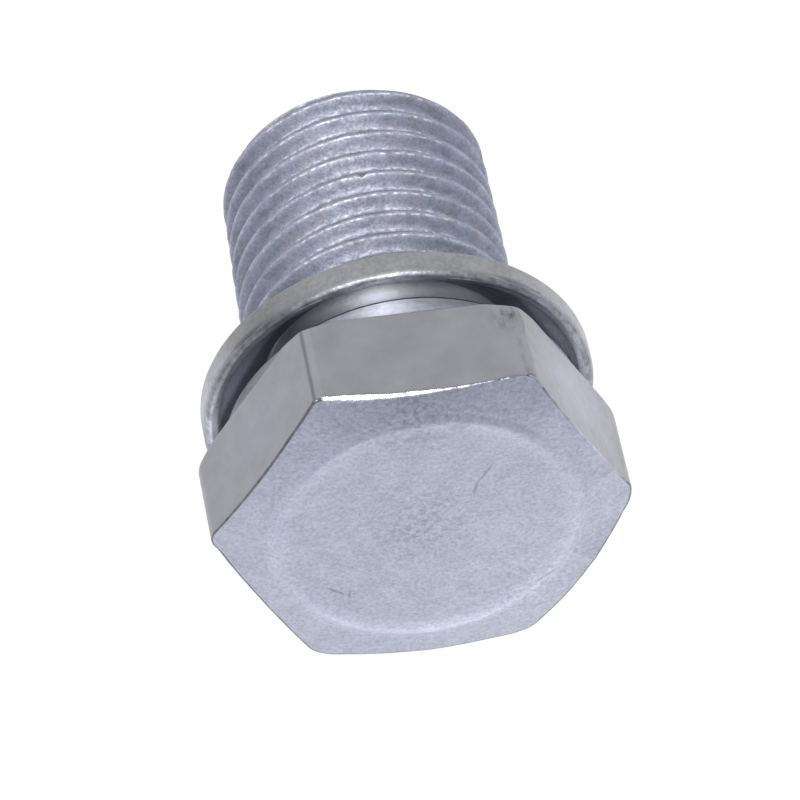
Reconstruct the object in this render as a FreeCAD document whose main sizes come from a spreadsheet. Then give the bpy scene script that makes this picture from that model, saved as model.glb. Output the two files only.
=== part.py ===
# Oil drain plug, M14 x 1.5, 19 mm hexagon head, with a loose dished sealing washer on its neck.
# The plug stands on its threaded tip: the origin is the middle of the tip's end face, +Z runs
# along the axis towards the head, and -Y faces one flat of the hexagon. Millimetres.
import FreeCAD, Part
import Sketcher
import math
import os

doc = FreeCAD.newDocument("oil_drain_plug")


# Driving dimensions: alias, size and what it measures.

DRIVING_DIMENSIONS = [
    ("AcrossFlats", 19.0, "hexagon, flat to flat"),
    ("HeadHeight", 6.0, "hexagon's back face to the front of the face disc"),
    ("FaceDiscDiameter", 15.2, "flat disc in the middle of the head face"),
    ("LandAngle", 12.0, "slope of the land round the face disc, in degrees"),
    ("BackChamferReach", 0.77, "how far in from the hexagon's corners the back chamfer starts"),
    ("BackChamferAngle", 32.0, "slope of that chamfer, in degrees"),
    ("CornerRadius", 0.45, "rounding of the hexagon's six upright corners"),
    ("FaceEdgeRadius", 0.2, "rounding between the flats and the land"),
    ("CollarDiameter", 18.6, "round collar behind the hexagon"),
    ("CollarHeight", 1.2, "collar along the axis"),
    ("CollarEdgeBreak", 0.25, "chamfer on the collar's back edge"),
    ("NeckDiameter", 13.1, "plain neck that the washer floats on"),
    ("NeckLength", 4.25, "collar to the foot of the thread's run-out"),
    ("NeckFillet", 0.4, "fillet between neck and collar"),
    ("ThreadDiameter", 14.0, "major diameter of the M14 thread"),
    ("ThreadLength", 13.95, "end face to the foot of the thread's run-out"),
    ("TipDiameter", 12.1, "end face inside the lead chamfer"),
    ("TipChamferHeight", 0.95, "lead chamfer along the axis"),
    ("WasherDiameter", 20.14, "washer over its rim"),
    ("WasherRimHeight", 1.5, "upright band of the washer's rim"),
    ("WasherLipWidth", 0.45, "narrow lip that faces the head"),
    ("WasherWallRun", 0.65, "how far the wall under the lip leans in"),
    ("WasherWallDepth", 1.05, "depth of that wall"),
    ("WasherSheet", 0.8, "thickness at the bore"),
    ("WasherDish", 2.05, "how far the middle is dished out past the rim"),
    ("WasherBoreClearance", 0.25, "radial gap between washer bore and neck"),
    ("WasherEdgeBreak", 0.12, "small chamfer on the washer's rim, lip and bore edges"),
    ("WasherSeatGap", 0.05, "washer's bore edge above the thread's run-out"),
]

sheet = doc.addObject("Spreadsheet::Sheet", "Sizes")
for row, (alias, size, meaning) in enumerate(DRIVING_DIMENSIONS, start=1):
    sheet.set(f"A{row}", meaning)
    sheet.set(f"B{row}", str(size))
    sheet.setAlias(f"B{row}", alias)
doc.recompute()


# Sizes that follow from the driving dimensions, written as spreadsheet expressions.

FLAT_RADIUS = "Sizes.AcrossFlats / 2"
CORNER_RADIUS = "Sizes.AcrossFlats / 2 / cos(30deg)"
THREAD_RADIUS = "Sizes.ThreadDiameter / 2"
NECK_RADIUS = "Sizes.NeckDiameter / 2"
NECK_TOP = "(Sizes.ThreadLength + Sizes.NeckLength)"
HEAD_BACK = f"({NECK_TOP} + Sizes.CollarHeight)"
HEAD_FRONT = f"({HEAD_BACK} + Sizes.HeadHeight)"
BACK_CHAMFER_RADIUS = f"({CORNER_RADIUS} - Sizes.BackChamferReach)"
RUNOUT_TOP = "Sizes.ThreadLength - (Sizes.ThreadDiameter - Sizes.NeckDiameter) / 2"
WASHER_BORE_RADIUS = "(Sizes.NeckDiameter / 2 + Sizes.WasherBoreClearance)"
WASHER_SEAT = "Sizes.ThreadLength - Sizes.WasherBoreClearance + Sizes.WasherSeatGap"
WASHER_TOP = "(Sizes.WasherDish + Sizes.WasherRimHeight)"
LIP_INNER_RADIUS = "(Sizes.WasherDiameter / 2 - Sizes.WasherLipWidth)"


def size_of(expression):
    """Present value of a spreadsheet expression, in millimetres or degrees."""
    result = sheet.evalExpression(expression)
    return float(getattr(result, "Value", result))


def add_sketch(body, name, plane_role):
    """New empty sketch on one of the body's own origin planes."""
    sketch = body.newObject("Sketcher::SketchObject", name)
    plane = next(f for f in body.Origin.OriginFeatures if f.Role == plane_role)
    sketch.AttachmentSupport = [(plane, "")]
    sketch.MapMode = "FlatFace"
    return sketch


def draw_turned_outline(sketch, corners):
    """Closed outline with ordinate dimensions, as on a turner's drawing.

    corners holds (label, radius expression, height expression); a radius or height of None
    lies on the axis or on the base line.
    """
    points = []
    for label, radius, height in corners:
        across = size_of(radius) if radius else 0.0
        up = size_of(height) if height else 0.0
        points.append(FreeCAD.Vector(across, up, 0))
    count = len(points)
    for i in range(count):
        sketch.addGeometry(Part.LineSegment(points[i], points[(i + 1) % count]), False)
    for i in range(count):
        sketch.addConstraint(Sketcher.Constraint("Coincident", i, 2, (i + 1) % count, 1))
    for i, (label, radius, height) in enumerate(corners):
        if radius:
            index = sketch.addConstraint(Sketcher.Constraint("DistanceX", -1, 1, i, 1, points[i].x))
            sketch.renameConstraint(index, f"{label}_radius")
            sketch.setExpression(f"Constraints.{label}_radius", radius)
        else:
            sketch.addConstraint(Sketcher.Constraint("PointOnObject", i, 1, -2))
        if height:
            index = sketch.addConstraint(Sketcher.Constraint("DistanceY", -1, 1, i, 1, points[i].y))
            sketch.renameConstraint(index, f"{label}_height")
            sketch.setExpression(f"Constraints.{label}_height", height)
        else:
            sketch.addConstraint(Sketcher.Constraint("PointOnObject", i, 1, -1))


def turn(body, kind, name, sketch):
    """Full turn of the sketch about the body's Z axis, added or cut away."""
    feature = body.newObject(kind, name)
    feature.Profile = sketch
    feature.ReferenceAxis = (sketch, ["V_Axis"])
    feature.Angle = 360.0
    body.Tip = feature
    doc.recompute()
    return feature


def dress_edges(body, kind, name, size_property, alias, wanted):
    """Fillet or chamfer on those edges of the body's present shape that the test picks."""
    before = body.Tip
    edges = [f"Edge{i}" for i, edge in enumerate(before.Shape.Edges, start=1) if wanted(edge)]
    feature = body.newObject(kind, name)
    feature.Base = (before, edges)
    feature.setExpression(size_property, f"Sizes.{alias}")
    body.Tip = feature
    doc.recompute()
    return feature


def round_edges(body, name, alias, wanted):
    """Rounding with the radius that the alias gives."""
    return dress_edges(body, "PartDesign::Fillet", name, "Radius", alias, wanted)


def break_edges(body, name, alias, wanted):
    """Chamfer at 45 degrees with the size that the alias gives."""
    return dress_edges(body, "PartDesign::Chamfer", name, "Size", alias, wanted)


def ring_at(edge, radius, height, slack=0.02):
    """Whether the edge is a circle about Z with this radius and height."""
    if not isinstance(edge.Curve, Part.Circle):
        return False
    same_radius = abs(edge.Curve.Radius - radius) < slack
    return same_radius and abs(edge.Curve.Center.z - height) < slack


# The plug: one forged blank with a hexagon head, collar, neck and rolled thread.

plug = doc.addObject("PartDesign::Body", "drain_plug")

# Hexagon round a construction circle, so that the size across flats is the one that drives it.
hexagon = add_sketch(plug, "hexagon", "XY_Plane")
hexagon.setExpression("AttachmentOffset.Base.z", HEAD_BACK)
corner_distance = size_of(CORNER_RADIUS)
hex_corners = []
for k in range(6):
    angle = math.radians(60 * k)
    hex_corners.append(FreeCAD.Vector(corner_distance * math.cos(angle),
                                      corner_distance * math.sin(angle), 0))
for k in range(6):
    hexagon.addGeometry(Part.LineSegment(hex_corners[k], hex_corners[(k + 1) % 6]), False)
for k in range(6):
    hexagon.addConstraint(Sketcher.Constraint("Coincident", k, 2, (k + 1) % 6, 1))
centre = FreeCAD.Vector(0, 0, 0)
upward = FreeCAD.Vector(0, 0, 1)
corner_circle = hexagon.addGeometry(Part.Circle(centre, upward, corner_distance), True)
flat_circle = hexagon.addGeometry(Part.Circle(centre, upward, size_of(FLAT_RADIUS)), True)
hexagon.addConstraint(Sketcher.Constraint("Coincident", corner_circle, 3, -1, 1))
hexagon.addConstraint(Sketcher.Constraint("Coincident", flat_circle, 3, -1, 1))
for k in range(6):
    hexagon.addConstraint(Sketcher.Constraint("PointOnObject", k, 1, corner_circle))
for k in range(5):
    hexagon.addConstraint(Sketcher.Constraint("Equal", k, k + 1))
hexagon.addConstraint(Sketcher.Constraint("Tangent", 0, flat_circle))
hexagon.addConstraint(Sketcher.Constraint("PointOnObject", 0, 1, -1))
flat_radius = hexagon.addConstraint(Sketcher.Constraint("Radius", flat_circle, size_of(FLAT_RADIUS)))
hexagon.renameConstraint(flat_radius, "flat_radius")
hexagon.setExpression("Constraints.flat_radius", FLAT_RADIUS)

head = plug.newObject("PartDesign::Pad", "head")
head.Profile = hexagon
head.setExpression("Length", "Sizes.HeadHeight")
plug.Tip = head
doc.recompute()

# The six upright corners, at the hexagon's full radius.
corner_reach = size_of(CORNER_RADIUS)


def is_hex_corner(edge):
    """Whether the edge is one of the head's six upright corners."""
    if not isinstance(edge.Curve, Part.Line) or abs(edge.Curve.Direction.z) < 0.99:
        return False
    return all(abs(math.hypot(v.X, v.Y) - corner_reach) < 0.01 for v in edge.Vertexes)


round_edges(plug, "hex_corners", "CornerRadius", is_hex_corner)

# The sloping land outside the face disc, cut a little past the corners.
land_reach = f"{CORNER_RADIUS} + 1"
land_outline = add_sketch(plug, "land_outline", "XZ_Plane")
draw_turned_outline(land_outline, [
    ("disc_edge", "Sizes.FaceDiscDiameter / 2", HEAD_FRONT),
    ("outside_low", land_reach,
     f"{HEAD_FRONT} - ({land_reach} - Sizes.FaceDiscDiameter / 2) * tan(Sizes.LandAngle * 1deg)"),
    ("outside_high", land_reach, HEAD_FRONT),
])
turn(plug, "PartDesign::Groove", "land", land_outline)

flat_distance = size_of(FLAT_RADIUS)
face_height = size_of(HEAD_FRONT)


def is_face_edge(edge):
    """Whether the edge runs round the outside of the head face."""
    middle = edge.valueAt((edge.FirstParameter + edge.LastParameter) / 2)
    beyond_disc = math.hypot(middle.x, middle.y) > flat_distance - 0.01
    return beyond_disc and all(face_height - 1.2 < v.Z < face_height for v in edge.Vertexes)


round_edges(plug, "face_edge", "FaceEdgeRadius", is_face_edge)

# The chamfer that takes the hexagon's corners off behind.
back_outline = add_sketch(plug, "back_chamfer_outline", "XZ_Plane")
draw_turned_outline(back_outline, [
    ("chamfer_start", BACK_CHAMFER_RADIUS, HEAD_BACK),
    ("outside_low", land_reach, HEAD_BACK),
    ("outside_high", land_reach,
     f"{HEAD_BACK} + ({land_reach} - {BACK_CHAMFER_RADIUS})"
     " * tan(Sizes.BackChamferAngle * 1deg)"),
])
turn(plug, "PartDesign::Groove", "back_chamfer", back_outline)

# Collar, neck and threaded shank, turned in one outline.
shank_outline = add_sketch(plug, "shank_outline", "XZ_Plane")
draw_turned_outline(shank_outline, [
    ("tip_centre", None, None),
    ("tip_edge", "Sizes.TipDiameter / 2", None),
    ("thread_start", THREAD_RADIUS, "Sizes.TipChamferHeight"),
    ("thread_end", THREAD_RADIUS, RUNOUT_TOP),
    ("neck_foot", NECK_RADIUS, "Sizes.ThreadLength"),
    ("neck_top", NECK_RADIUS, NECK_TOP),
    ("collar_back", "Sizes.CollarDiameter / 2", NECK_TOP),
    ("collar_front", "Sizes.CollarDiameter / 2", HEAD_BACK),
    ("head_centre", None, HEAD_BACK),
])
shank = turn(plug, "PartDesign::Revolution", "shank", shank_outline)

collar_radius = size_of("Sizes.CollarDiameter / 2")
neck_top_height = size_of(NECK_TOP)
break_edges(plug, "collar_edge", "CollarEdgeBreak",
            lambda edge: ring_at(edge, collar_radius, neck_top_height))
round_edges(plug, "neck_fillet", "NeckFillet",
            lambda edge: ring_at(edge, size_of(NECK_RADIUS), neck_top_height))

# The washer: a dished ring whose bore is wider than the neck and narrower than the thread.

washer = doc.addObject("PartDesign::Body", "sealing_washer")
washer.setExpression("Placement.Base.z", WASHER_SEAT)

ring_outline = add_sketch(washer, "ring_outline", "XZ_Plane")
draw_turned_outline(ring_outline, [
    ("bore_back", WASHER_BORE_RADIUS, None),
    ("rim_back", "Sizes.WasherDiameter / 2", "Sizes.WasherDish"),
    ("rim_front", "Sizes.WasherDiameter / 2", WASHER_TOP),
    ("lip_inside", LIP_INNER_RADIUS, WASHER_TOP),
    ("wall_foot", f"{LIP_INNER_RADIUS} - Sizes.WasherWallRun",
     f"{WASHER_TOP} - Sizes.WasherWallDepth"),
    ("bore_front", WASHER_BORE_RADIUS, "Sizes.WasherSheet"),
])
ring = turn(washer, "PartDesign::Revolution", "ring", ring_outline)

washer_top = size_of(WASHER_TOP)
rim_radius = size_of("Sizes.WasherDiameter / 2")
bore_radius = size_of(WASHER_BORE_RADIUS)
washer_corners = [
    (rim_radius, size_of("Sizes.WasherDish")),
    (rim_radius, washer_top),
    (size_of(LIP_INNER_RADIUS), washer_top),
    (bore_radius, size_of("Sizes.WasherSheet")),
]
break_edges(washer, "washer_edges", "WasherEdgeBreak",
            lambda edge: any(ring_at(edge, radius, height) for radius, height in washer_corners))

doc.recompute()


# Check every object, then write one file for each piece.

for item in doc.Objects:
    if "Invalid" in item.State or "Error" in item.State:
        raise RuntimeError(f"{item.Label} did not build: {item.State}")

os.makedirs("parts", exist_ok=True)
for body in (plug, washer):
    shape = body.Shape
    if shape.isNull() or not shape.isValid() or len(shape.Solids) != 1:
        raise RuntimeError(f"{body.Label} is not one valid solid")
    shape.exportStep(f"parts/{body.Label}.step")
    print(body.Label, "volume", round(shape.Volume, 1), "mm3, faces", len(shape.Faces))
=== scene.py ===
# Oil drain plug: a forged hexagon head, a round collar and a rolled M14 x 1.5 thread, with a loose
# dished sealing washer on the neck. The meshes are shaped in millimetres in the part's own axes
# and brought to metres at the end.
import bmesh
import bpy
import math
from mathutils import Matrix, Vector, noise


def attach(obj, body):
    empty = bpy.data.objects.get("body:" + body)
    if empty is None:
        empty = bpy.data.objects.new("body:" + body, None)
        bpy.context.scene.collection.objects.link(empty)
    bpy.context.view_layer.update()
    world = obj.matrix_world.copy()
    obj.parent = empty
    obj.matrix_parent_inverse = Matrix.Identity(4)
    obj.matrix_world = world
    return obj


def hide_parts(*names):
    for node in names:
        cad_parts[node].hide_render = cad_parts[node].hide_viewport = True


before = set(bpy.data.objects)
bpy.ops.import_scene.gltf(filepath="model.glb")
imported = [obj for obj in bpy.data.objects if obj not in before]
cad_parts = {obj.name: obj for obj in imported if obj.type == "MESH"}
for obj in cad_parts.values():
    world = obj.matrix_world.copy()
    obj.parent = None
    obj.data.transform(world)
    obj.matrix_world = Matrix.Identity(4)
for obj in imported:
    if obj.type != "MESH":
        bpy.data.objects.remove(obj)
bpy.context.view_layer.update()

MM = 0.001

# Sizes of the plug in millimetres, from the tip upwards.
TIP_RADIUS = 6.22
TIP_CHAMFER = 0.8
THREAD_RADIUS = 7.0
THREAD_PITCH = 1.5
THREAD_LENGTH = 13.95
NECK_FOOT = THREAD_LENGTH + 0.4
NECK_RADIUS = 6.55
NECK_FILLET = 0.35
NECK_TOP = 18.2
COLLAR_BACK_FLAT = 7.9
COLLAR_RADIUS = 9.2
COLLAR_BREAK = 0.24
COLLAR_DIP = 0.2
HEAD_BACK = 19.4
BACK_ROUND = 0.1
BACK_CHAMFER_RADIUS = 10.2
BACK_CHAMFER_SLOPE = math.tan(math.radians(32.0))
FLAT_RADIUS = 9.5
HEAD_FRONT = 25.4
LAND_FOOT = 25.24
DISC_LEVEL = HEAD_FRONT - 0.035
DISC_RADIUS = 7.85
DISC_RIM_BREADTH = 1.0
LAND_START = DISC_RADIUS + 0.3

# Rounding of the six upright corners, from +X anticlockwise: worn all round except the two in front.
CORNER_ROUNDING = (1.5, 1.8, 1.8, 2.2, 0.75, 0.45)

# Height of the hexagon's front edge by angle in degrees: domed and uneven, lowest at the corners.
FRONT_EDGE = (
    (-180, 24.50), (-175, 24.78), (-169, 24.98), (-160, 25.08), (-150, 25.16), (-141, 25.13), (-132, 25.06),
    (-126, 24.90), (-121.5, 24.68), (-118, 24.60), (-114, 24.67), (-110, 24.74), (-106, 24.82), (-101, 24.90),
    (-96, 24.94), (-90, 24.96), (-83, 24.97), (-78, 24.95), (-74, 24.88), (-70, 24.81), (-66, 24.73),
    (-62, 24.64), (-58, 24.76), (-54, 24.86), (-49, 24.91), (-43, 24.98), (-36, 25.02), (-29, 25.02),
    (-21, 24.95), (-15, 24.88), (-10, 24.77), (-5, 24.64), (0, 24.45), (5.5, 24.30), (11, 24.54), (18, 24.70),
    (24, 24.79), (31, 24.87), (38, 24.89), (44, 24.90), (50, 24.86), (56, 24.78), (61, 24.70), (65, 24.76),
    (69, 24.88), (73, 24.97), (77, 25.05), (82, 25.12), (90, 25.17), (96, 25.14), (102, 25.06), (107, 24.97),
    (112, 24.86), (118, 24.72), (124, 24.80), (130, 25.03), (135, 25.19), (141, 25.30), (149, 25.33),
    (157, 25.30), (163, 25.12), (169, 24.88), (174, 24.60), (180, 24.50),
)

# Angles in degrees between which the front edge is bruised, along the flat that faces -Y.
BRUISE_START = -119.5
BRUISE_END = -60.5
# The corner beside the bruise isn't rubbed: between these angles the edge looks like its neighbours.
PLAIN_START = -124.0
PLAIN_END = -119.0

# Finishes of the plug, by material index.
THREAD, NECK, COLLAR, SIDES, FACE, RUBBED, BRUISED = range(7)
# Finishes of the washer, by material index.
SHEET, RIM, LIP = range(3)


def clamp(t):
    """The value, kept between 0 and 1."""
    return min(1.0, max(0.0, t))


def ease(t):
    """Soft step from 0 to 1, level at both ends."""
    t = clamp(t)
    return t * t * (3 - 2 * t)


def between(one, other, t):
    """Value at share t of the way from one to the other."""
    return one * (1 - t) + other * t


def bump_at(value, centre, width):
    """Soft bump of height 1 round a centre, gone at the distance of its width."""
    return ease(1.0 - abs(value - centre) / width)


def ripple(x, y, z, size):
    """Smooth unevenness between -1 and 1, with features about as large as size in millimetres."""
    return noise.noise(Vector((x, y, z)) / size)


def quarter_round(steps, first=1):
    """Steps of a quarter round: the share still to go outwards and the share already gone upwards."""
    for k in range(first, steps + 1):
        turn = math.radians(90 * k / steps)
        yield 1 - math.sin(turn), 1 - math.cos(turn)


def open_edges(bm):
    """Edges on the open borders of the mesh."""
    return [e for e in bm.edges if e.is_boundary]


def ring_of(verts):
    """Edges that join the vertices of a new circle."""
    return list(dict.fromkeys(e for v in verts for e in v.link_edges))


def pull_ring(bm, ring, reach, height, finish):
    """Extrude an open ring of edges and return the new ring.

    Reach is a number or a function of the angle; height is a number or a function of the angle
    and the reach there.
    """
    made = bmesh.ops.extrude_edge_only(bm, edges=ring)["geom"]
    new_verts = {g for g in made if isinstance(g, bmesh.types.BMVert)}
    for face in (g for g in made if isinstance(g, bmesh.types.BMFace)):
        face.material_index = finish
    for v in new_verts:
        angle = math.atan2(v.co.y, v.co.x)
        radius = reach(angle) if callable(reach) else reach
        z = height(angle, radius) if callable(height) else height
        v.co = Vector((radius * math.cos(angle), radius * math.sin(angle), z))
    return [g for g in made
            if isinstance(g, bmesh.types.BMEdge) and all(v in new_verts for v in g.verts)]


def draw_together(bm, ring, height):
    """Close a ring by drawing it together into one point on the axis."""
    verts = list(dict.fromkeys(v for e in ring for v in e.verts))
    bmesh.ops.pointmerge(bm, verts=verts, merge_co=(0, 0, height))


def finish_piece(bm, name, node, body, materials):
    """Turn a mesh in millimetres into a piece that replaces a node and rides on a body."""
    bmesh.ops.recalc_face_normals(bm, faces=bm.faces)
    bmesh.ops.scale(bm, vec=Vector((MM, MM, MM)), verts=bm.verts)
    for face in bm.faces:
        face.smooth = True
    mesh = bpy.data.meshes.new(name)
    bm.to_mesh(mesh)
    bm.free()
    for material in materials:
        mesh.materials.append(material)
    piece = bpy.data.objects.new(name, mesh)
    bpy.context.scene.collection.objects.link(piece)
    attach(piece, body)
    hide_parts(node)


# The rolled thread: one pitch of its outline wound into one turn, and the turn repeated.

THREAD_STEPS = 300
# Height of a crest on the side that faces +X.
CREST_HEIGHT = 1.32
# Radius from which a vertex counts as part of the crest.
CREST_FOOT = 6.75
# Radius, height and tone along one pitch. The tone is painted light and shade: dark in the seam under the
# crest, partly a real seam and partly painted shade, and light above the crest and in the root as painted
# highlights.
THREAD_OUTLINE = (
    (6.31, -0.75, 1.04), (6.32, -0.66, 0.95), (6.37, -0.57, 0.88), (6.46, -0.47, 0.8), (6.57, -0.375, 0.72),
    (6.70, -0.285, 0.66), (6.85, -0.20, 0.62), (6.94, -0.135, 0.56), (6.985, -0.08, 0.6), (7.0, 0.0, 0.86),
    (6.992, 0.07, 1.0), (6.97, 0.11, 1.12), (6.93, 0.15, 1.1), (6.86, 0.205, 0.95), (6.75, 0.285, 0.89),
    (6.63, 0.37, 0.86), (6.52, 0.455, 0.9), (6.43, 0.535, 1.0), (6.365, 0.61, 1.1), (6.325, 0.68, 1.1),
    (6.31, 0.75, 1.04),
)
TIP_TONE = 0.9

# The ridge fades out over this length and is gone a little short of the neck.
RUN_OUT = 1.1
RUN_OUT_END = 0.3
# The thread is this much fuller at the neck, from this height on and over this length.
SWELL = 0.12
SWELL_START = 1.5
SWELL_LENGTH = 7.0
# The shank lies this far towards -X at both ends, and swings a little past its axis below the neck.
THREAD_LEAN = 0.12
LEAN_SWING = 1.7
LEAN_RISE = 12.0
LEAN_FALL = 2.0
# One small nick in a crest, in front.
NICK_ANGLE = math.radians(-86.7)
NICK_WIDTH = 0.04
NICK_HEIGHT = 6.95
NICK_REACH = 0.45
NICK_DEPTH = 0.15
NICK_LIFT = 0.13


def thread_lean(z):
    """How far the shank lies off its axis towards +X at a height."""
    return THREAD_LEAN * (LEAN_SWING * min(z / LEAN_RISE, (THREAD_LENGTH - z) / LEAN_FALL) - 1.0)


def wear_thread(v):
    """Trim a thread vertex to the tip chamfer and the run-out, and roughen the crest a little."""
    x, y, z = v.co
    radius = math.hypot(x, y)
    crest = max(0.0, (radius - CREST_FOOT) / (THREAD_RADIUS - CREST_FOOT))
    fade = ease((THREAD_LENGTH - RUN_OUT_END - z) / RUN_OUT)
    full = THREAD_RADIUS + SWELL * ease((z - SWELL_START) / SWELL_LENGTH)
    shaped = full - (THREAD_RADIUS - radius) * fade
    shaped -= crest * (0.02 + 0.02 * ripple(x, y, z, 0.35) + 0.015 * ripple(x, y, z, 0.8))
    shaped += 0.02 * (1 - crest) * ripple(x, y, z, 0.9)
    lift = crest * (0.025 * ripple(x, y, z + 40, 0.4) + 0.03 * ripple(x, y, z + 40, 1.8))
    nick = bump_at(math.atan2(y, x), NICK_ANGLE, NICK_WIDTH) * bump_at(z, NICK_HEIGHT, NICK_REACH)
    shaped -= NICK_DEPTH * nick
    lift += NICK_LIFT * nick
    tip_cone = TIP_RADIUS + z * (THREAD_RADIUS - TIP_RADIUS) / TIP_CHAMFER
    neck_cone = NECK_RADIUS + max(0.0, THREAD_LENGTH - z)
    shaped = min(shaped, tip_cone, neck_cone, full)
    v.co = Vector((x * shaped / radius + thread_lean(z), y * shaped / radius, z + lift))


def wind_thread(bm):
    """Wind the thread from below the tip to above the run-out, then cut both ends level."""
    start = CREST_HEIGHT - 2 * THREAD_PITCH
    tone_layer = bm.verts.layers.float.new("tone")
    corners = []
    for radius, height, tone in THREAD_OUTLINE:
        corner = bm.verts.new((radius, 0, start + height))
        corner[tone_layer] = tone
        corners.append(corner)
    edges = [bm.edges.new(pair) for pair in zip(corners, corners[1:])]
    bmesh.ops.spin(
        bm, geom=corners + edges, cent=(0, 0, 0), axis=(0, 0, 1),
        dvec=(0, 0, THREAD_PITCH / THREAD_STEPS), angle=2 * math.pi,
        steps=THREAD_STEPS, use_merge=False, use_duplicate=False)
    turn = bm.verts[:] + bm.edges[:] + bm.faces[:]
    turns = math.ceil((THREAD_LENGTH - start) / THREAD_PITCH) + 1
    for k in range(1, turns):
        copied = bmesh.ops.duplicate(bm, geom=turn)["geom"]
        copied_verts = [g for g in copied if isinstance(g, bmesh.types.BMVert)]
        bmesh.ops.translate(bm, vec=(0, 0, THREAD_PITCH * k), verts=copied_verts)
    bmesh.ops.remove_doubles(bm, verts=bm.verts, dist=0.002)
    for v in bm.verts:
        wear_thread(v)
    for height, upward in ((0.0, -1), (THREAD_LENGTH, 1)):
        bmesh.ops.bisect_plane(
            bm, geom=bm.verts[:] + bm.edges[:] + bm.faces[:], dist=0.0005,
            plane_co=(0, 0, height), plane_no=(0, 0, upward), clear_outer=True)


def close_tip(bm, ring):
    """Flat end face of the tip, in rings to the middle, all of one tone."""
    for radius in (6.0, 5.7, 4.0, 2.0):
        ring = pull_ring(bm, ring, radius, 0.0, THREAD)
    draw_together(bm, ring, 0.0)
    tone_layer = bm.verts.layers.float["tone"]
    for v in bm.verts:
        if v.co.z < 0.001:
            v[tone_layer] = TIP_TONE


# The head: rings that start round the neck and open out into the hexagon.

HEAD_STEPS = 288
SIDE_RINGS = 16
EDGE_RINGS = 7
LAND_RINGS = 9
DISC_RINGS = 20
# How closely the vertices crowd at the hexagon's corners: 0 is evenly spaced, 1 is touching.
CORNER_CROWDING = 0.8
SIXTH = math.pi / 3
# Round shoulder of the disc: how far its foot lies outside the disc's edge, then that distance and the
# share of the rise for each ring.
SHOULDER_FOOT = 0.34
SHOULDER = ((0.26, 0.05), (0.18, 0.17), (0.09, 0.40), (0.0, 0.64), (-0.1, 0.84), (-0.2, 0.96), (-0.3, 1.0))


def corner_rounding(angle):
    """Rounding of the upright corner nearest to this angle."""
    return CORNER_ROUNDING[round(angle / SIXTH) % 6]


def hex_reach(angle, inset=0.0):
    """Distance from the axis to the hexagon's outline with its rounded corners."""
    flat = FLAT_RADIUS - inset
    rounding = max(0.05, corner_rounding(angle) - inset)
    from_corner = abs((angle + SIXTH / 2) % SIXTH - SIXTH / 2)
    straight = flat / math.cos(SIXTH / 2 - from_corner)
    centre = (flat - rounding) / math.cos(SIXTH / 2)
    across = centre * math.sin(from_corner)
    just_past_arc = rounding * math.sin(SIXTH / 2) * 1.02
    if across >= just_past_arc:
        return straight
    return min(straight, centre * math.cos(from_corner) + math.sqrt(rounding ** 2 - across ** 2))


def front_edge(angle):
    """Height of the front edge at an angle, from the table."""
    degrees = math.degrees(angle)
    for (start, low), (end, high) in zip(FRONT_EDGE, FRONT_EDGE[1:]):
        if degrees <= end:
            return low + (high - low) * (degrees - start) / (end - start)
    return FRONT_EDGE[-1][1]


def land_height(angle, radius):
    """Height of the land, which runs from the foot of the disc to the front edge."""
    t = clamp((radius - LAND_START) / (hex_reach(angle) - LAND_START))
    return LAND_FOOT + (front_edge(angle) - LAND_FOOT) * t


def back_height(radius):
    """Height of the head's back face, with the chamfer behind the corners."""
    return HEAD_BACK + max(0.0, radius - BACK_CHAMFER_RADIUS) * BACK_CHAMFER_SLOPE


def bruise(angle):
    """1 where the front edge is bruised into a bevel, and 0 elsewhere."""
    degrees = math.degrees(angle)
    return clamp((degrees - BRUISE_START) / 2.5) * clamp((BRUISE_END - degrees) / 2.0)


def edge_wear(angle):
    """Width of the worn front edge: a thin round, and a broader dented bevel where it is bruised."""
    x = FLAT_RADIUS * math.cos(angle)
    y = FLAT_RADIUS * math.sin(angle)
    degrees = math.degrees(angle)
    dents = 0.07 * ripple(x, y, 3.0, 0.4) + 0.05 * ripple(x, y, 9.0, 1.1) - 0.02
    broader = 0.07 * bump_at(degrees, -70.0, 30.0) - 0.09 * bump_at(degrees, -113.0, 22.0)
    thin = 0.11 - 0.06 * bump_at(degrees, -150.0, 34.0)
    return max(0.045, thin + 0.03 * ripple(x, y, 0.0, 2.0) + bruise(angle) * (dents + broader))


def edge_inset(angle, t):
    """How far in the worn edge has come at share t of the way round it: a round, or a bruised bevel."""
    return between(1 - math.cos(math.pi / 2 * t), t, bruise(angle))


def collar_dip(angle):
    """How far the collar's back edge hangs down in front."""
    return COLLAR_DIP * bump_at(math.degrees(angle), -86.0, 56.0)


def disc_edge(angle):
    """Radius of the face disc, a little uneven as forged."""
    x = math.cos(angle)
    y = math.sin(angle)
    return DISC_RADIUS + 0.14 * ripple(x, y, 5.0, 0.9) + 0.05 * ripple(x, y, 8.0, 0.22)


def disc_height(angle, radius):
    """Height of the face disc: slight hammered waves and a low round rim just inside its edge."""
    x = radius * math.cos(angle)
    y = radius * math.sin(angle)
    rim = 0.022 * bump_at(radius, disc_edge(angle) - 0.32, 0.6)
    return DISC_LEVEL + 0.007 * ripple(x, y, 1.0, 2.6) + 0.004 * ripple(x, y, 6.0, 0.9) + rim


def start_neck(bm):
    """Open circle at the foot of the neck, its vertices crowded where the corners will be."""
    made = bmesh.ops.create_circle(bm, cap_ends=False, radius=NECK_RADIUS, segments=HEAD_STEPS)
    for v in made["verts"]:
        angle = math.atan2(v.co.y, v.co.x)
        angle -= CORNER_CROWDING / 6 * math.sin(6 * angle)
        v.co = Vector((NECK_RADIUS * math.cos(angle), NECK_RADIUS * math.sin(angle), NECK_FOOT))
    return ring_of(made["verts"])


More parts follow.
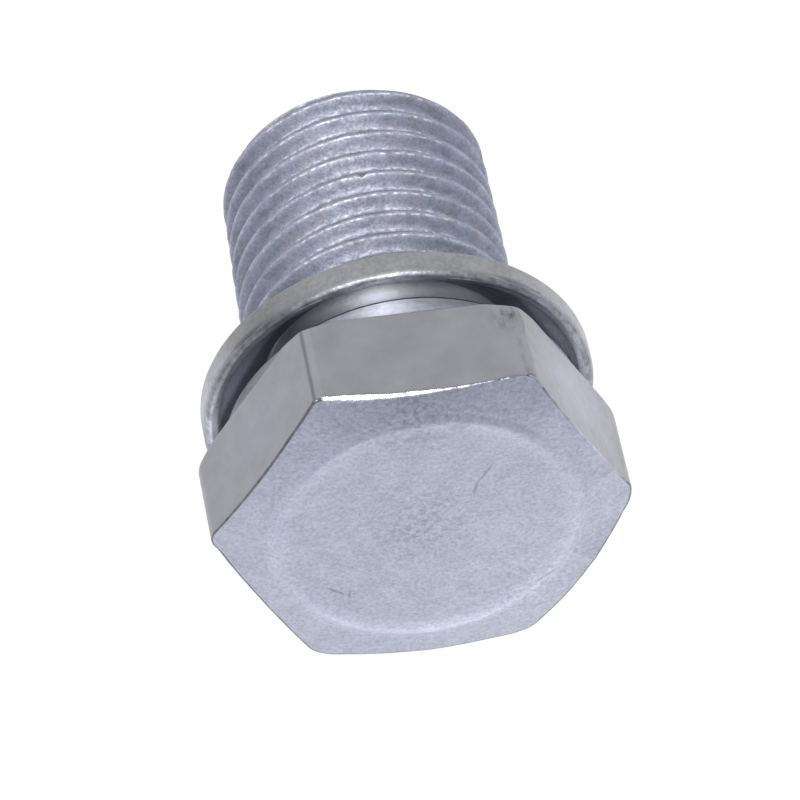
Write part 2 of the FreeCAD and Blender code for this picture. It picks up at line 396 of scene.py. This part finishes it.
def build_neck(bm, ring):
    """Plain neck with a fillet at the collar."""
    for height in (15.0, 16.0, 17.0, NECK_TOP - NECK_FILLET):
        ring = pull_ring(bm, ring, NECK_RADIUS, height, NECK)
    for below, outwards in quarter_round(4):
        ring = pull_ring(bm, ring, NECK_RADIUS + NECK_FILLET * outwards, NECK_TOP - NECK_FILLET * below, NECK)
    return ring


def build_collar(bm, ring):
    """Round collar: flat at first behind, then out to a rubbed edge that hangs down a little in front."""
    ring = pull_ring(bm, ring, COLLAR_BACK_FLAT, NECK_TOP, COLLAR)
    ring = pull_ring(bm, ring, COLLAR_RADIUS - COLLAR_BREAK, lambda a, r: NECK_TOP - collar_dip(a), COLLAR)
    for inwards, upwards in quarter_round(4):
        ring = pull_ring(bm, ring, COLLAR_RADIUS - COLLAR_BREAK * inwards,
                         lambda a, r: NECK_TOP + COLLAR_BREAK * upwards - collar_dip(a), RUBBED)
    for height in (NECK_TOP + 0.5, NECK_TOP + 0.85, HEAD_BACK - 0.06):
        ring = pull_ring(bm, ring, COLLAR_RADIUS, height, COLLAR)
    return pull_ring(bm, ring, COLLAR_RADIUS + 0.05, HEAD_BACK, COLLAR)


def build_sides(bm, ring):
    """Back of the hexagon with its chamfer, and the six flats."""
    for inwards, upwards in quarter_round(3, first=0):
        ring = pull_ring(bm, ring, lambda a: hex_reach(a, BACK_ROUND * inwards),
                         lambda a, r: back_height(r) + BACK_ROUND * upwards, SIDES)
    for k in range(1, SIDE_RINGS + 1):
        t = k / SIDE_RINGS
        ring = pull_ring(bm, ring, hex_reach, lambda a, r: between(
            back_height(r) + BACK_ROUND, front_edge(a) - edge_wear(a), t), SIDES)
    return ring


def build_front_edge(bm, ring):
    """Worn front edge, with its bruised stretch in a finish of its own."""
    for k in range(1, EDGE_RINGS + 1):
        t = k / EDGE_RINGS
        ring = pull_ring(bm, ring, lambda a: hex_reach(a, edge_wear(a) * edge_inset(a, t)),
                         lambda a, r: front_edge(a) - edge_wear(a) * edge_inset(a, 1 - t), RUBBED)
    for face in bm.faces:
        middle = face.calc_center_median()
        if face.material_index == RUBBED and middle.z > HEAD_BACK:
            angle = math.atan2(middle.y, middle.x)
            if bruise(angle) > 0.5:
                face.material_index = BRUISED
            elif PLAIN_START < math.degrees(angle) < PLAIN_END:
                face.material_index = FACE if face.normal.z > 0.5 else SIDES
    return ring


def build_face(bm, ring):
    """Sloping land, round shoulder of the disc, and the disc in rings to the middle."""
    for k in range(1, LAND_RINGS + 1):
        t = k / LAND_RINGS
        ring = pull_ring(bm, ring, lambda a: between(
            hex_reach(a, edge_wear(a) + 0.02), disc_edge(a) + SHOULDER_FOOT, t), land_height, FACE)
    for outward, rise in SHOULDER:
        ring = pull_ring(bm, ring, lambda a: disc_edge(a) + outward, lambda a, r: between(
            land_height(a, disc_edge(a) + SHOULDER_FOOT), disc_height(a, r), rise), FACE)
    for inward in (0.38, 0.48, 0.6, 0.78, DISC_RIM_BREADTH):
        ring = pull_ring(bm, ring, lambda a: disc_edge(a) - inward, disc_height, FACE)
    for k in range(1, DISC_RINGS):
        t = k / DISC_RINGS
        ring = pull_ring(bm, ring, lambda a: (disc_edge(a) - DISC_RIM_BREADTH) * (1 - t), disc_height, FACE)
    draw_together(bm, ring, disc_height(0, 0))


def build_head(bm):
    """Neck, collar and hexagon head; returns the open ring at the foot of the neck."""
    foot = start_neck(bm)
    ring = build_neck(bm, foot)
    ring = build_collar(bm, ring)
    ring = build_sides(bm, ring)
    ring = build_front_edge(bm, ring)
    build_face(bm, ring)
    return foot


# The washer: a dished ring with an upright rim and a narrow lip towards the head.

WASHER_STEPS = 360
WASHER_RADIUS = 10.07
WASHER_SEAT = 13.75
WASHER_BORE = 6.80
BORE_BREAK = 0.06
RIM_BACK = 15.8
WASHER_TOP = 17.3
WASHER_LEAN = 0.03

# Its section in rings, from the bore's back edge outwards and back inside. Radius and height:
WASHER_BACK = ((7.6, 14.25), (8.6, 14.9), (9.5, 15.45), (9.88, RIM_BACK - 0.12))
RIM_SIDE = ((9.99, RIM_BACK - 0.04), (10.05, RIM_BACK + 0.05), (WASHER_RADIUS, RIM_BACK + 0.16),
            (WASHER_RADIUS, 16.3), (WASHER_RADIUS, 16.7))
DISH = ((8.99, 16.24), (8.82, 16.02), (8.4, 15.72), (7.6, 15.13), (6.95, 14.66), (6.84, 14.57),
        (WASHER_BORE, 14.48), (WASHER_BORE, 13.84))
# Radius, depth below the rim's top, and how far a fold moves the ring:
RIM_ROUND = ((WASHER_RADIUS, 0.42, 0.0), (10.065, 0.385, -0.04), (10.05, 0.34, -0.18), (10.03, 0.295, -0.2),
             (10.0, 0.245, -0.04), (9.965, 0.20, 0.03), (9.925, 0.16, 0.02), (9.865, 0.10, 0.0),
             (9.80, 0.065, 0.0), (9.72, 0.043, 0.0), (9.65, 0.032, 0.0))
# Radius, depth below the rim's top, and how much of the lip's change in breadth the ring takes:
LIP_ROUND = ((9.63, 0.028, 0.6), (9.58, 0.028, 0.8), (9.53, 0.032, 1.0), (9.46, 0.05, 0.8),
             (9.39, 0.09, 0.5), (9.35, 0.16, 0.2), (9.33, 0.26, 0.0), (9.31, 0.42, 0.0),
             (9.24, 0.60, 0.0), (9.12, 0.82, 0.0))
# Depth below the rim's top above which its round is rubbed bright.
RUBBED_DEPTH = 0.17


def washer_lean(angle, radius):
    """How far the rim hangs down: the loose washer leans away at the back."""
    share = ease((radius - 7.2) / 2.2)
    return share * WASHER_LEAN * radius * (-math.sin(angle) - 1.0)


def lip_breadth(angle):
    """Shift of the lip's inner edge: narrower at the sides, broader at the back."""
    from_front = abs((math.degrees(angle) + 85.5 + 180.0) % 360.0 - 180.0)
    return 0.2 * bump_at(from_front, 46.0, 34.0) - 0.14 * ease((from_front - 71.0) / 14.0)


def lip_fold(angle):
    """1 at the two places where the lip's outer edge is folded and leaves a groove beside it."""
    degrees = math.degrees(angle)
    return bump_at(degrees, -39.0, 9.0) + bump_at(degrees, -127.0, 11.0)


def washer_ring(bm, ring, radius, height, finish=SHEET, uneven=0.0, fold=0.0, breadth=0.0):
    """One more ring of the washer's section, leaning and a little wavy like the rest."""

    def reach(angle):
        x = radius * math.cos(angle)
        y = radius * math.sin(angle)
        pushed = fold * lip_fold(angle) + breadth * lip_breadth(angle)
        return min(WASHER_RADIUS, radius + pushed + uneven * ripple(x, y, height, 1.6))

    def rise(angle, reached):
        x = radius * math.cos(angle)
        y = radius * math.sin(angle)
        waves = 0.02 * ripple(x, y, 0.0, 4.0) + uneven * ripple(x, y, height + 7.0, 1.1)
        return height + washer_lean(angle, radius) + waves

    return pull_ring(bm, ring, reach, rise, finish)


def build_washer(bm):
    """Ring by ring round the section, then the last ring bridged to the first."""
    made = bmesh.ops.create_circle(
        bm, cap_ends=False, radius=WASHER_BORE + BORE_BREAK, segments=WASHER_STEPS)
    bmesh.ops.translate(bm, vec=(0, 0, WASHER_SEAT), verts=made["verts"])
    first = ring_of(made["verts"])
    ring = first
    for radius, height in WASHER_BACK:
        ring = washer_ring(bm, ring, radius, height)
    for radius, height in RIM_SIDE:
        ring = washer_ring(bm, ring, radius, height, uneven=0.006)
    for radius, depth, fold in RIM_ROUND:
        finish = RIM if depth < RUBBED_DEPTH else SHEET
        ring = washer_ring(bm, ring, radius, WASHER_TOP - depth, finish, uneven=0.012, fold=fold)
    for radius, depth, breadth in LIP_ROUND:
        ring = washer_ring(bm, ring, radius, WASHER_TOP - depth, LIP, uneven=0.01, breadth=breadth)
    for radius, height in DISH:
        ring = washer_ring(bm, ring, radius, height)
    bmesh.ops.bridge_loops(bm, edges=ring + first)


# Finishes

def add_node(tree, kind, **inputs):
    """New node whose sockets get these values; underscores in a socket's name stand for spaces."""
    node = tree.nodes.new(kind)
    for name, value in inputs.items():
        node.inputs[name.replace("_", " ")].default_value = value
    return node


class Finish:
    """A metal finish: a Principled shader fed by patterns in the part's millimetres."""

    def __init__(self, name):
        self.material = bpy.data.materials.new(name)
        self.material.use_nodes = True
        self.tree = self.material.node_tree
        self.shader = self.tree.nodes["Principled BSDF"]
        self.shader.inputs["Metallic"].default_value = 1.0
        self.place = self.tree.nodes.new("ShaderNodeTexCoord").outputs["Object"]
        self.tone = None
        self.bump = None

    def join(self, source, target):
        """Link one socket to another."""
        self.tree.links.new(source, target)

    def pattern(self, per_mm, detail=3.0, stretch=(1, 1, 1), roughness=0.55):
        """Noise with this many features to the millimetre, squeezed by the stretch along each axis."""
        mapping = self.tree.nodes.new("ShaderNodeMapping")
        mapping.inputs["Scale"].default_value = [per_mm / MM * s for s in stretch]
        self.join(self.place, mapping.inputs["Vector"])
        noise_node = add_node(self.tree, "ShaderNodeTexNoise", Scale=1.0, Detail=detail, Roughness=roughness)
        self.join(mapping.outputs["Vector"], noise_node.inputs["Vector"])
        return noise_node.outputs["Fac"]

    def spread(self, source, low, high, to_low=0.0, to_high=1.0):
        """Stretch the part of a pattern between low and high over another range."""
        node = add_node(self.tree, "ShaderNodeMapRange", From_Min=low, From_Max=high, To_Min=to_low,
                        To_Max=to_high)
        self.join(source, node.inputs["Value"])
        return node.outputs["Result"]

    def patches(self, per_mm, low, high, detail=3.0, stretch=(1, 1, 1), roughness=0.55):
        """A pattern whose range between low and high is stretched to run from 0 to 1."""
        return self.spread(self.pattern(per_mm, detail, stretch, roughness), low, high)

    def measure(self, operation, source, fixed=(0, 0, 0)):
        """Number that one Vector Math operation makes of a place and a fixed vector."""
        node = self.tree.nodes.new("ShaderNodeVectorMath")
        node.operation = operation
        self.join(source, node.inputs[0])
        node.inputs[1].default_value = fixed
        return node.outputs["Value"]

    def flat_place(self):
        """Places seen along the axis, with their height left out."""
        node = self.tree.nodes.new("ShaderNodeVectorMath")
        node.operation = "MULTIPLY"
        self.join(self.place, node.inputs[0])
        node.inputs[1].default_value = (1, 1, 0)
        return node.outputs["Vector"]

    def near(self, centre, reach):
        """1 at a point of the part, falling to 0 at this distance, both in millimetres."""
        distance = self.measure("DISTANCE", self.place, [c * MM for c in centre])
        return self.spread(distance, reach * MM, 0.0)

    def near_upright(self, x, y, reach, core=0.0):
        """1 within the core's distance of an upright line, falling to 0 at its reach, in millimetres."""
        distance = self.measure("DISTANCE", self.flat_place(), (x * MM, y * MM, 0))
        return self.spread(distance, reach * MM, core * MM)

    def from_axis(self, start, end):
        """0 at the start's distance from the axis and 1 at the end's, in millimetres."""
        return self.spread(self.measure("LENGTH", self.flat_place()), start * MM, end * MM)

    def combine(self, operation, first, second):
        """One Math operation on two patterns."""
        node = self.tree.nodes.new("ShaderNodeMath")
        node.operation = operation
        self.join(first, node.inputs[0])
        self.join(second, node.inputs[1])
        return node.outputs[0]

    def times(self, first, second):
        """What two patterns have in common."""
        return self.combine("MULTIPLY", first, second)

    def mix(self, first, second, share):
        """Blend two patterns; share is how much of the second shows."""
        node = self.tree.nodes.new("ShaderNodeMix")
        node.inputs["Factor"].default_value = share
        self.join(first, node.inputs["A"])
        self.join(second, node.inputs["B"])
        return node.outputs["Result"]

    def stored(self, name):
        """Value stored on the mesh under this name."""
        node = self.tree.nodes.new("ShaderNodeAttribute")
        node.attribute_name = name
        return node.outputs["Fac"]

    def mark(self, x, y, turn, length, width):
        """A fine mark on the face: 1 along its middle and 0 outside this length and width."""
        mapping = self.tree.nodes.new("ShaderNodeMapping")
        mapping.vector_type = "TEXTURE"
        mapping.inputs["Location"].default_value = (x * MM, y * MM, HEAD_FRONT * MM)
        mapping.inputs["Rotation"].default_value = (0, 0, math.radians(turn))
        mapping.inputs["Scale"].default_value = (length / 2 * MM, width / 2 * MM, 1)
        self.join(self.place, mapping.inputs["Vector"])
        return self.spread(self.measure("LENGTH", mapping.outputs["Vector"]), 1.0, 0.5)

    def paint(self, tone):
        """Make this tone the base colour."""
        self.tone = tone
        self.join(tone, self.shader.inputs["Base Color"])

    def colour(self, amount, one, other):
        """Blend the base colour between two tones."""
        node = self.tree.nodes.new("ShaderNodeMix")
        node.data_type = "RGBA"
        node.inputs["A"].default_value = (*one, 1)
        node.inputs["B"].default_value = (*other, 1)
        self.join(amount, node.inputs["Factor"])
        self.paint(node.outputs["Result"])

    def tint(self, amount, factors):
        """Multiply the base colour by these factors where the amount is 1."""
        node = self.tree.nodes.new("ShaderNodeMix")
        node.data_type = "RGBA"
        node.blend_type = "MULTIPLY"
        node.inputs["B"].default_value = (*factors, 1)
        self.join(amount, node.inputs["Factor"])
        self.join(self.tone, node.inputs["A"])
        self.paint(node.outputs["Result"])

    def shade(self, amount, factor):
        """Multiply the base colour by one factor where the amount is 1."""
        self.tint(amount, (factor, factor, factor))

    def scale(self, factor):
        """Multiply the base colour by a value of the mesh."""
        node = self.tree.nodes.new("ShaderNodeVectorMath")
        node.operation = "SCALE"
        self.join(self.tone, node.inputs[0])
        self.join(factor, node.inputs["Scale"])
        self.paint(node.outputs["Vector"])

    def roughness(self, per_mm, smooth, rough, detail=3.0):
        """Roughness that wanders between smooth and rough."""
        wander = self.spread(self.pattern(per_mm, detail), 0.3, 0.7, smooth, rough)
        self.join(wander, self.shader.inputs["Roughness"])

    def relief(self, height, depth_mm):
        """Lay another layer of relief on the surface."""
        node = add_node(self.tree, "ShaderNodeBump", Strength=1.0, Distance=depth_mm * MM)
        self.join(height, node.inputs["Height"])
        if self.bump:
            self.join(self.bump, node.inputs["Normal"])
        self.bump = node.outputs["Normal"]
        self.join(self.bump, self.shader.inputs["Normal"])


def rolled_thread():
    """Thread rolled through the plating: grainy, with painted light and shade stored along its outline as
    tones.
    """
    f = Finish("rolled thread")
    grain = f.patches(7.0, 0.35, 0.65, 4.0, (0.8, 0.8, 1.2), roughness=0.75)
    clouds = f.patches(1.0, 0.35, 0.65, 4.0, (1, 1, 1.6))
    f.colour(f.mix(grain, clouds, 0.35), (0.35, 0.355, 0.42), (0.62, 0.625, 0.73))
    # Painted light and shade: the base colour is scaled by the tones stored along the outline.
    tone = f.stored("tone")
    f.scale(tone)
    # Painted glints: bright beads on the crests in front, where the lamp shines.
    painted_glints = f.times(f.patches(5.0, 0.46, 0.6, stretch=(0.6, 0.6, 1.2)), f.spread(tone, 1.04, 1.12))
    f.tint(f.times(painted_glints, f.near_upright(0.6, -6.9, 6.5, 3.5)), (1.95, 1.9, 1.7))
    # A bluish cast in patches, darker streaks round the shank, and painted shade on the front, where the lamp
    # shines.
    f.tint(f.patches(0.9, 0.46, 0.6, 2.0, (1, 1, 1.5)), (0.95, 0.99, 1.02))
    f.shade(f.patches(1.5, 0.54, 0.68, stretch=(0.4, 0.4, 1.8)), 0.78)
    f.shade(f.near_upright(0.6, -6.9, 5.5, 1.0), 0.88)
    f.roughness(5.0, 0.52, 0.7)
    f.relief(f.pattern(2.2, stretch=(0.5, 0.5, 1.3)), 0.014)
    f.relief(f.pattern(7.0), 0.016)
    return f.material


def turned_metal(name, dark, light, smooth, rough):
    """Turned with fine rings, which draw each light into an upright streak."""
    f = Finish(name)
    streaks = f.patches(1.6, 0.3, 0.7, 4.0, (0.35, 0.35, 2.0))
    f.colour(f.mix(streaks, f.patches(4.0, 0.35, 0.65), 0.4), dark, light)
    f.roughness(2.0, smooth, rough)
    f.relief(f.pattern(1.0, 2.0, (0.25, 0.25, 9.0)), 0.012)
    f.relief(f.pattern(4.0), 0.012)
    f.shader.inputs["Anisotropic"].default_value = 0.9
    f.shader.inputs["Anisotropic Rotation"].default_value = 0.25
    rings = f.tree.nodes.new("ShaderNodeTangent")
    rings.direction_type = "RADIAL"
    rings.axis = "Z"
    f.join(rings.outputs["Tangent"], f.shader.inputs["Tangent"])
    return f


def turned_neck():
    """Neck, rubbed light by the washer and lightened further with painted light, and darker towards both
    sides with painted shade.
    """
    f = turned_metal("turned neck", (0.82, 0.87, 1.0), (0.98, 0.99, 1.0), 0.56, 0.70)
    f.shader.inputs["Metallic"].default_value = 0.76
    # Painted shade low on the neck towards both sides, deep inside the washer.
    f.shade(f.near((5.4, -4.0, 14.6), 3.2), 0.35)
    f.shade(f.near((-5.2, -4.3, 14.6), 2.2), 0.6)
    return f.material


def turned_collar():
    """Collar, smoother and darker than the neck, with a painted highlight in front and painted shade towards
    both sides.
    """
    f = turned_metal("turned collar", (0.32, 0.33, 0.38), (0.50, 0.51, 0.58), 0.32, 0.4)
    # Painted highlight in front, and painted shade beside it and at both sides.
    f.shade(f.near((1.1, -9.2, 18.7), 2.2), 1.75)
    f.shade(f.near((-3.4, -8.6, 18.9), 3.4), 0.6)
    f.shade(f.near((-8.2, -4.5, 18.7), 4.5), 0.55)
    f.shade(f.near((8.2, -4.5, 18.7), 4.0), 0.6)
    return f.material


def hexagon_sides():
    """Trimmed flats: smoother and greyer than the face."""
    f = Finish("hexagon sides")
    f.colour(f.patches(0.6, 0.3, 0.7, 4.0), (0.285, 0.287, 0.31), (0.33, 0.332, 0.355))
    # Painted light: the two flats beside the front one are lighter, the one towards -X most.
    f.tint(f.near((-8.2, -4.75, 22.0), 6.5), (1.46, 1.46, 1.63))
    f.tint(f.near((8.2, -4.75, 22.0), 6.5), (1.06, 1.06, 1.17))
    # A dark line down the front flat's +X end, with a light one beside it.
    f.shade(f.near_upright(5.45, -9.44, 0.12, 0.05), 0.65)
    f.shade(f.near_upright(5.15, -9.5, 0.2, 0.1), 1.1)
    # Scuff at the back corner of the other end, and dark spots up that corner.
    scuffs = f.patches(2.4, 0.48, 0.62, 4.0, (1, 1, 0.6))
    f.shade(f.times(scuffs, f.near((-4.9, -9.5, 20.5), 1.2)), 0.45)
    f.shade(f.near((-5.0, -9.5, 20.5), 0.8), 0.8)
    f.shade(f.times(scuffs, f.near_upright(-5.35, -9.4, 0.5, 0.1)), 0.75)
    f.shade(f.near((-5.42, -9.4, 24.75), 0.4), 0.5)
    f.roughness(2.5, 0.29, 0.38)
    f.relief(f.pattern(0.8, 2.0), 0.012)
    f.relief(f.pattern(5.0, 2.0), 0.006)
    return f.material


def forged_face():
    """Grainy zinc-plated skin of the forged face."""
    f = Finish("forged face")
    grain = f.patches(5.0, 0.36, 0.64, 4.0, roughness=0.75)
    f.colour(f.mix(grain, f.patches(1.0, 0.35, 0.65, 4.0), 0.25), (0.46, 0.47, 0.56), (0.68, 0.69, 0.77))
    # Painted light: the face is lighter towards -X and +Y.
    f.tint(f.near((-7.0, 5.5, HEAD_FRONT), 9.0), (1.14, 1.14, 1.12))
    # Painted highlight: the disc's rim is lighter, most of all towards +Y.
    rim = f.times(f.from_axis(6.7, 7.5), f.from_axis(8.25, 7.85))
    f.shade(rim, 1.1)
    f.shade(f.times(rim, f.near((-0.5, 7.8, HEAD_FRONT), 8.5)), 1.3)
    # Painted shade on the land in front.
    f.shade(f.near((0.8, -9.3, 25.1), 4.5), 0.84)
    # Pits in the middle of the disc, and dimples at its edge and on the land in front.
    pits = f.times(f.patches(2.6, 0.50, 0.60), f.near((0.2, -0.3, HEAD_FRONT), 3.6))
    f.shade(pits, 0.8)
    dimples = f.patches(3.4, 0.52, 0.62)
    f.shade(f.times(dimples, f.near((-4.6, 5.2, HEAD_FRONT), 4.0)), 0.82)
    f.shade(f.times(dimples, f.near((0.6, -8.3, 25.2), 3.6)), 0.72)
    for x, y, turn, length, width in ((-6.1, 4.6, 35, 1.3, 0.24), (-3.0, -3.6, 60, 1.7, 0.2),
                                      (-2.5, -2.6, 75, 1.1, 0.2), (4.6, 3.9, 145, 1.5, 0.24),
                                      (3.9, 4.2, 80, 0.8, 0.18)):
        f.shade(f.mark(x, y, turn, length, width), 0.72)
    f.roughness(4.0, 0.36, 0.5, 2.0)
    f.relief(f.pattern(1.1, 2.0), 0.01)
    f.relief(f.pattern(4.0, 4.0, roughness=0.65), 0.028)
    f.relief(pits, -0.02)
    return f.material


def rubbed_edge():
    """Edges rubbed through to the steel: glossy, so they are dark unless they face the lamp."""
    f = Finish("rubbed edge")
    f.colour(f.patches(1.5, 0.35, 0.65), (0.20, 0.20, 0.22), (0.32, 0.32, 0.34))
    # Painted light on the edge along the flat that faces -X and -Y.
    f.tint(f.near((-8.2, -4.75, 25.1), 5.4), (2.8, 2.8, 3.0))
    f.roughness(4.0, 0.3, 0.44, 2.0)
    f.relief(f.pattern(3.0, 2.0), 0.01)
    return f.material


def bruised_edge():
    """Bruised bevel of the front edge that faces -Y: bare bright steel, with painted shade at its -X end."""
    f = Finish("bruised edge")
    f.colour(f.patches(2.5, 0.4, 0.6), (0.36, 0.36, 0.40), (0.85, 0.85, 0.88))
    # Painted shade at the -X end of the bevel.
    f.tint(f.near((-5.0, -9.5, 24.7), 3.0), (0.2, 0.18, 0.24))
    f.roughness(4.0, 0.25, 0.42, 2.0)
    f.relief(f.pattern(2.5), 0.03)
    return f.material


def pressed_washer():
    """Dull pressed sheet metal."""
    f = Finish("pressed washer")
    grain = f.patches(5.0, 0.36, 0.64, roughness=0.7)
    f.colour(f.mix(grain, f.patches(0.8, 0.3, 0.7, 4.0), 0.5), (0.29, 0.29, 0.30), (0.42, 0.42, 0.435))
    # Painted light and shade: the rim is lighter at both sides and darker towards +X in front.
    f.tint(f.near((-10.0, -2.5, 16.8), 8.0), (1.75, 1.75, 1.78))
    f.tint(f.near((9.9, -1.0, 16.8), 5.0), (1.8, 1.8, 1.92))
    f.shade(f.near((6.6, -7.4, 16.9), 3.0), 0.74)
    # Painted light lifts the dish, and painted shade darkens it beside the head.
    dish = f.from_axis(9.25, 9.05)
    f.tint(dish, (1.25, 1.25, 1.4))
    towards_sides = f.combine("MAXIMUM", f.measure("DOT_PRODUCT", f.place, (0.866, -0.5, 0)),
                              f.measure("DOT_PRODUCT", f.place, (-0.805, -0.465, 0)))
    f.shade(f.times(dish, f.spread(towards_sides, 7.95 * MM, 7.55 * MM)), 0.42)
    f.roughness(3.0, 0.5, 0.64)
    f.relief(f.pattern(1.2, 2.0), 0.02)
    f.relief(f.pattern(4.0), 0.022)
    return f.material


def rubbed_rim():
    """Rounded corner of the washer's rim, rubbed bright."""
    f = Finish("rubbed rim")
    f.colour(f.patches(2.2, 0.35, 0.65), (0.30, 0.30, 0.33), (0.52, 0.52, 0.57))
    # Painted shade on the rounded corner at two places in front, and a painted highlight on it towards +X.
    f.shade(f.near((6.6, -7.4, 17.2), 3.0), 0.6)
    f.shade(f.near((-5.8, -7.8, 17.2), 4.0), 0.75)
    f.shade(f.near((9.7, -0.6, 17.2), 3.5), 1.9)
    f.roughness(4.0, 0.34, 0.5, 2.0)
    f.relief(f.pattern(2.5), 0.03)
    return f.material


def turned_lip():
    """Inner side of the washer's lip, smoothed in rings, and lighter at both sides with painted light, most
    of all towards +X and -X.
    """
    f = turned_metal("turned lip", (0.22, 0.22, 0.25), (0.36, 0.36, 0.40), 0.5, 0.6)
    # Painted light at both sides of the lip, strongest towards +X and -X.
    f.shade(f.near((8.2, -4.6, 17.2), 5.5), 1.7)
    f.shade(f.near((-8.2, -4.6, 17.2), 5.5), 1.7)
    f.shade(f.near((9.5, -0.6, 17.2), 2.8), 2.4)
    f.shade(f.near((-9.4, -2.0, 17.2), 2.8), 2.4)
    return f.material


# Pieces

def make_plug():
    """Plug: the wound thread and the head, bridged at the foot of the neck, with the tip closed last."""
    bm = bmesh.new()
    wind_thread(bm)
    borders = open_edges(bm)
    top_border = [e for e in borders if min(v.co.z for v in e.verts) > THREAD_LENGTH / 2]
    tip_border = [e for e in borders if max(v.co.z for v in e.verts) < THREAD_LENGTH / 2]
    neck_foot = build_head(bm)
    for face in bmesh.ops.bridge_loops(bm, edges=top_border + neck_foot)["faces"]:
        face.material_index = NECK
    close_tip(bm, tip_border)
    finish_piece(bm, "drain_plug_finished", "drain_plug", "plug",
                 [rolled_thread(), turned_neck(), turned_collar(), hexagon_sides(), forged_face(),
                  rubbed_edge(), bruised_edge()])


def make_washer():
    """Sealing washer, loose on the neck."""
    bm = bmesh.new()
    build_washer(bm)
    finish_piece(bm, "sealing_washer_finished", "sealing_washer", "washer",
                 [pressed_washer(), rubbed_rim(), turned_lip()])


# Studio

FLOOR_GLOW = 1.05
FLOOR_GLOW_SHARE = 0.93
LIGHTS_AIM = Vector((0, 0, 0.018))


def floor_paint():
    """White to the eye and in the metal, and still takes the plug's shadow."""
    material = bpy.data.materials.new("white floor")
    material.use_nodes = True
    tree = material.node_tree
    paint = tree.nodes["Principled BSDF"]
    paint.inputs["Base Color"].default_value = (0.8, 0.8, 0.8, 1)
    paint.inputs["Roughness"].default_value = 1.0
    paint.inputs["Specular IOR Level"].default_value = 0.0
    glow = add_node(tree, "ShaderNodeEmission", Color=(1, 1, 1, 1), Strength=FLOOR_GLOW)
    rays = tree.nodes.new("ShaderNodeLightPath")
    seen = rays.outputs["Is Camera Ray"]
    for extra in ("Is Glossy Ray", "Is Transmission Ray"):
        either = tree.nodes.new("ShaderNodeMath")
        either.operation = "MAXIMUM"
        tree.links.new(seen, either.inputs[0])
        tree.links.new(rays.outputs[extra], either.inputs[1])
        seen = either.outputs[0]
    share = tree.nodes.new("ShaderNodeMath")
    share.operation = "MULTIPLY"
    share.inputs[1].default_value = FLOOR_GLOW_SHARE
    tree.links.new(seen, share.inputs[0])
    both = tree.nodes.new("ShaderNodeMixShader")
    tree.links.new(share.outputs[0], both.inputs["Fac"])
    tree.links.new(paint.outputs["BSDF"], both.inputs[1])
    tree.links.new(glow.outputs["Emission"], both.inputs[2])
    tree.links.new(both.outputs["Shader"], tree.nodes["Material Output"].inputs["Surface"])
    return material


def lay_floor():
    """Plain white floor under the tip."""
    bpy.ops.mesh.primitive_plane_add(size=6.0, location=(0, 0, 0))
    floor = bpy.context.object
    floor.name = "floor"
    floor.data.materials.append(floor_paint())


def soft_panel(name, azimuth, elevation, distance, width, height, radiance, tint=(1, 1, 1)):
    """Soft panel that faces the plug, as bright as the radiance says; azimuth 0 is +X, 90 is +Y."""
    data = bpy.data.lights.new(name, "AREA")
    data.shape = "RECTANGLE"
    data.size = width
    data.size_y = height
    data.energy = radiance * math.pi * width * height
    data.color = tint
    lamp = bpy.data.objects.new(name, data)
    turn = math.radians(azimuth)
    lift = math.radians(elevation)
    away = Vector((math.cos(turn) * math.cos(lift), math.sin(turn) * math.cos(lift), math.sin(lift)))
    lamp.location = LIGHTS_AIM + away * distance
    lamp.rotation_euler = (-away).to_track_quat("-Z", "Y").to_euler()
    bpy.context.scene.collection.objects.link(lamp)


def hang_lights():
    """One strong lamp in front, three dim panels round the plug, and a dim bluish room."""
    soft_panel("back panel", 98, 32, 0.6, 0.95, 0.46, 0.62, (1.0, 0.99, 0.97))
    soft_panel("key lamp", -84, 41.5, 0.7, 0.16, 0.13, 38.0)
    soft_panel("left panel", 35, 52, 0.6, 0.35, 0.35, 0.35)
    soft_panel("right panel", 158, 25, 0.6, 0.35, 0.4, 0.45)
    world = bpy.data.worlds.new("studio")
    world.use_nodes = True
    room = world.node_tree.nodes["Background"]
    room.inputs["Color"].default_value = (0.66, 0.69, 0.78, 1)
    room.inputs["Strength"].default_value = 0.58
    bpy.context.scene.world = world


# Camera: long lens, looking down on the head, turned so that the tip points up in the picture.

CAMERA_AZIMUTH = math.radians(8.35)
CAMERA_ELEVATION = math.radians(42.80)
CAMERA_ROLL = math.radians(167.71)
CAMERA_DISTANCE = 0.35669
CAMERA_LENS = 315.0
CAMERA_AIM = Vector((-0.00009, -0.00001, 0.01642))


def place_camera():
    """Camera at the photo's viewing angle."""
    forward = Vector((-math.sin(CAMERA_AZIMUTH) * math.cos(CAMERA_ELEVATION),
                      math.cos(CAMERA_AZIMUTH) * math.cos(CAMERA_ELEVATION),
                      -math.sin(CAMERA_ELEVATION)))
    data = bpy.data.cameras.new("camera")
    data.lens = CAMERA_LENS
    data.sensor_width = 36.0
    camera = bpy.data.objects.new("camera", data)
    level_view = forward.to_track_quat("-Z", "Y").to_matrix()
    turned_view = level_view @ Matrix.Rotation(CAMERA_ROLL, 3, "Z")
    camera.matrix_world = Matrix.Translation(CAMERA_AIM - forward * CAMERA_DISTANCE) @ turned_view.to_4x4()
    bpy.context.scene.collection.objects.link(camera)
    bpy.context.scene.camera = camera


make_plug()
make_washer()
lay_floor()
hang_lights()
place_camera()
bpy.context.scene.view_settings.view_transform = "Standard"
